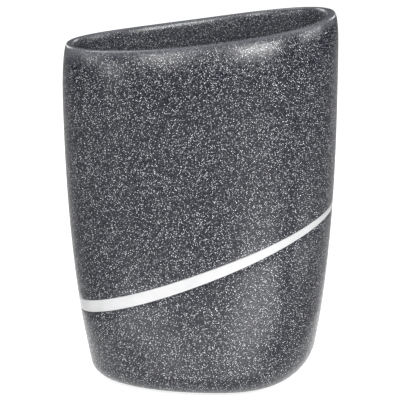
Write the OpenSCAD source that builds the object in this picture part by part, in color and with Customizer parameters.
// Bathroom tumbler: an oval cast-stone cup with a slanted rim and a slanting white band.
// Millimetres, +Z up, long side of the oval along X. The origin is on the surface that the
// tumbler stands on, under the middle of the cup.

/* [Cup] */
// Width of the mouth, the long way across the oval
cup_w = 82; // [70:1:100]
// Depth of the mouth, the short way across the oval
cup_d = 52.8; // [48:0.5:66]
// Width at the underside, before its edge is rounded
base_w = 65.6; // [58:0.5:78]
// Depth at the underside, before its edge is rounded
base_d = 56.1; // [50:0.5:66]
// Squareness of the oval: 2 is an ellipse, more is squarer
squareness = 2.29; // [2:0.01:3]
// How much deeper the right half of the underside is, as a share of its depth
base_egg_share = 0.2; // [0:0.01:0.3]
// How much deeper the right half of the mouth is, as a share of its depth
mouth_egg_share = 0.1; // [0:0.01:0.2]

/* [Rim] */
// Height of the rim's left end over the underside
rim_left_h = 102; // [90:0.1:115]
// Height of the rim at its middle
rim_mid_h = 105.2; // [92:0.1:118]
// Height of the rim's right end
rim_right_h = 110.8; // [94:0.1:125]
// Width of the rim's flat crest at the left end
crest_left_w = 0.2; // [0.1:0.1:1.2]
// Width of the rim's flat crest at the right end
crest_right_w = 0.7; // [0.1:0.1:1.6]
// Width of the rounding of the rim's inner edge: the outer edge takes the rest of the wall
inner_edge_w = 1.6; // [0.8:0.1:2]
// How far down the inside that rounding eases out
inner_edge_h = 3.2; // [1:0.1:5]
// How far down the outside the rounding of the outer edge eases out, at the left end
outer_edge_left_h = 17.8; // [6:0.1:22]
// How far down the outside the rounding of the outer edge eases out, at the right end
outer_edge_right_h = 9.2; // [4:0.1:16]

/* [Walls] */
// Thickness of the wall at the mouth
mouth_wall = 3.8; // [3.2:0.1:5]
// Thickness of the wall at the inner floor
foot_wall = 4.8; // [4:0.1:6]
// Thickness of the floor
floor_t = 7; // [4:0.5:12]
// Radius of the corner between the floor and the inside wall
floor_r = 9; // [4:0.5:11]
// Rounding of the underside's edge at the left end
base_round_left = 4.5; // [2:0.1:8]
// Rounding of the underside's edge at the right end
base_round_right = 11.1; // [4:0.1:13]

/* [Band] */
// Height of the band's upper edge at the left end, over the underside
band_left_h = 24.8; // [18:0.1:34]
// Height of the band's upper edge in the middle
band_mid_h = 38.6; // [30:0.1:50]
// Height of the band's upper edge at the right end
band_right_h = 54.8; // [40:0.1:66]
// Width of the band at the left end
band_left_w = 3.7; // [2.5:0.1:6]
// Width of the band in the middle
band_mid_w = 3.7; // [2.5:0.1:6]
// Width of the band at the right end
band_right_w = 1.9; // [1.5:0.1:5]
// Thickness of the band
band_t = 1.1; // [0.6:0.1:1.6]
// Glue line round the band in its groove
band_fit = 0.1; // [0.05:0.01:0.2]

/* [Feet] */
// Diameter of a foot pad
foot_dia = 9; // [6:0.5:12]
// Thickness of a foot pad
foot_t = 1.2; // [0.8:0.1:2.5]
// Bevel round a foot pad's lower edge
foot_bevel = 0.4; // [0.2:0.1:0.6]
// Distance from a foot pad to the edge of the flat underside
foot_gap = 3; // [1:0.5:5]
// Direction of the foot pads from the middle, measured from the long side of the oval
foot_angle = 42; // [35:1:55]

/* [Hidden] */

// Points round the oval, and rows up each stretch of its surface
sides = 80;
low_rows = 5;
high_rows = 9;
inner_rows = 8;
round_rows = 5;
lip_rows = 7;
edge_rows = 4;

// Share of the way from the base's size to the mouth's, at equal steps of height
flare_shares = [0, 0.484, 0.772, 0.924, 0.982, 1];

crest_in = mouth_wall - inner_edge_w;
groove_d = band_t + band_fit;
foot_r = foot_dia / 2;

// Height of an edge that passes through three given heights, at share s from left to right
function edge_h(s, left, mid, right) =
    mid + (right - left) / 2 * s + ((left + right) / 2 - mid) * s * s;

function rim_h(s) = edge_h(s, rim_left_h, rim_mid_h, rim_right_h);
function band_top(s) = edge_h(s, band_left_h, band_mid_h, band_right_h);
function band_bottom(s) = band_top(s) - edge_h(s, band_left_w, band_mid_w, band_right_w);
function base_round(s) = mix(base_round_left, base_round_right, (s + 1) / 2);
function crest_w(s) = mix(crest_left_w, crest_right_w, (s + 1) / 2);
function outer_edge_h(s) = mix(outer_edge_left_h, outer_edge_right_h, (s + 1) / 2);

// Smooth curve through a table of shares, with t from 0 to 1
function smooth(table, t) =
    let (
        last = len(table) - 1,
        i = max(0, min(last - 1, floor(t * last))),
        f = t * last - i,
        a = table[i],
        b = table[i + 1],
        before = i > 0 ? table[i - 1] : 2 * a - b,
        after = i < last - 1 ? table[i + 2] : 2 * b - a
    )
    a + f * (b - before) / 2
      + f * f * (before - 2.5 * a + 2 * b - after / 2)
      + f * f * f * (1.5 * a - before / 2 - 1.5 * b + after / 2);

function flare(z) = smooth(flare_shares, z / rim_right_h);
function half_w(z) = (base_w + (cup_w - base_w) * flare(z)) / 2;
function half_d(z) = (base_d + (cup_d - base_d) * flare(z)) / 2;
function egg(z) = base_egg_share + (mouth_egg_share - base_egg_share) * z / rim_right_h;

// Shares of the half width and half depth in a direction from the middle of the oval
function share(v) = sign(v) * pow(abs(v), 2 / squareness);
function across(angle) = share(cos(angle));
function deep(angle) = share(sin(angle));

// Point of the outer surface in that direction at height z, moved in by inset
function wall_point(angle, z, inset) =
    let (sx = across(angle), sy = deep(angle))
    [(half_w(z) - inset) * sx, half_d(z) * sy * (1 + egg(z) * sx) - inset * sy, z];

// A height or inset is one number for all sides, or a list with a value for each
directions = [for (i = [0 : sides - 1]) 360 * i / sides];
function each_side(f) = [for (angle = directions) f(across(angle))];
function spread(v) = is_num(v) ? [for (angle = directions) v] : v;
function mix(a, b, t) = a + (b - a) * t;

// One ring of points
function ring(height, inset) =
    let (zs = spread(height), ins = spread(inset))
    [for (i = [0 : sides - 1]) wall_point(directions[i], zs[i], ins[i])];

// Rings from one height and inset to another, without the first
function rise(from, to, inset_from, inset_to, rows) = [
    for (k = [1 : rows])
        ring(mix(spread(from), spread(to), k / rows), mix(inset_from, inset_to, k / rows))
];

// Rings round an edge with its own half sizes inwards and upwards, from one angle to another:
// 0 is level with its centre, on the outside, and 90 is its top
function edge_rings(centre, inset, size_in, size_up, from, to, rows) = [
    for (k = [0 : rows])
        let (angle = mix(from, to, k / rows))
        ring(spread(centre) + spread(size_up) * sin(angle),
             spread(inset) + spread(size_in) * (1 - cos(angle)))
];

// Triangles between stacked rings, and the two flat ends
function skin(rows) = [
    for (r = [0 : rows - 2], i = [0 : sides - 1])
        let (j = (i + 1) % sides, a = r * sides + i, b = r * sides + j)
        each [[a, b + sides, b], [a, a + sides, b + sides]]
];
function first_cap() = [[for (i = [0 : sides - 1]) i]];
function last_cap(rows) = [[for (i = [sides - 1 : -1 : 0]) (rows - 1) * sides + i]];

// Sizes that change round the oval
base_rounds = each_side(function (s) base_round(s));
rim_hs = each_side(function (s) rim_h(s));
outer_edge_hs = each_side(function (s) outer_edge_h(s));
outer_edge_ws = each_side(function (s) crest_in - crest_w(s));
outer_edge_feet = rim_hs - outer_edge_hs;
inner_edge_feet = each_side(function (s) rim_h(s) - inner_edge_h);
band_tops = each_side(function (s) band_top(s));
band_bottoms = each_side(function (s) band_bottom(s));
floor_corner = floor_t + floor_r;

// Outside of the cup from the underside to the crest of the rim
outer_rings = concat(
    edge_rings(base_rounds, 0, base_rounds, base_rounds, -90, 0, round_rows),
    rise(base_rounds, band_bottoms, 0, 0, low_rows),
    [ring(band_bottoms, groove_d), ring(band_tops, groove_d), ring(band_tops, 0)],
    rise(band_tops, outer_edge_feet, 0, 0, high_rows),
    edge_rings(outer_edge_feet, 0, outer_edge_ws, outer_edge_hs, 90 / lip_rows, 90, lip_rows - 1)
);

// Inside from the crest's inner side to the corner round the floor
inner_rings = concat(
    edge_rings(inner_edge_feet, crest_in - inner_edge_w, inner_edge_w, inner_edge_h, 90, 180, edge_rows),
    rise(inner_edge_feet, floor_corner, mouth_wall, foot_wall, inner_rows),
    edge_rings(floor_corner, foot_wall, floor_r, floor_r, -90 / round_rows, -90, round_rows - 1)
);
cup_rings = concat(outer_rings, inner_rings);

// The cup, cast in one: outside, rounded lip and inside, open at the top
module cup_body() {
    color("#55585a")
        translate([0, 0, foot_t])
            polyhedron(
                points = [for (r = cup_rings) each r],
                faces = concat(first_cap(), skin(len(cup_rings)), last_cap(len(cup_rings)))
            );
}

// White ring that fills the groove, flush with the wall
module band_inlay() {
    low = each_side(function (s) band_bottom(s) + band_fit);
    high = each_side(function (s) band_top(s) - band_fit);
    rings = [ring(low, 0), ring(high, 0), ring(high, band_t), ring(low, band_t)];
    count = len(rings);
    color("#f4f3f0")
        translate([0, 0, foot_t])
            polyhedron(
                points = [for (r = rings) each r],
                faces = [
                    for (r = [0 : count - 1], i = [0 : sides - 1])
                        let (j = (i + 1) % sides, n = (r + 1) % count)
                        each [[r * sides + i, n * sides + j, r * sides + j],
                              [r * sides + i, n * sides + i, n * sides + j]]
                ]
            );
}

// One self-adhesive pad, widest where it is stuck on
module foot_pad() {
    flat_r = foot_r - foot_bevel;
    color("#c9cdd0")
        rotate_extrude($fn = 48)
            polygon([[0, 0], [flat_r, 0], [foot_r, foot_bevel], [foot_r, foot_t], [0, foot_t]]);
}

// Places a pad in the given direction, inside the flat part of the underside
module at_foot(angle) {
    inset = base_round(across(angle)) + foot_gap + foot_r;
    translate(wall_point(angle, 0, inset))
        children();
}

module foot_front_left() { at_foot(180 + foot_angle) foot_pad(); }
module foot_front_right() { at_foot(-foot_angle) foot_pad(); }
module foot_back_left() { at_foot(180 - foot_angle) foot_pad(); }
module foot_back_right() { at_foot(foot_angle) foot_pad(); }

cup_body();
band_inlay();
foot_front_left();
foot_front_right();
foot_back_left();
foot_back_right();
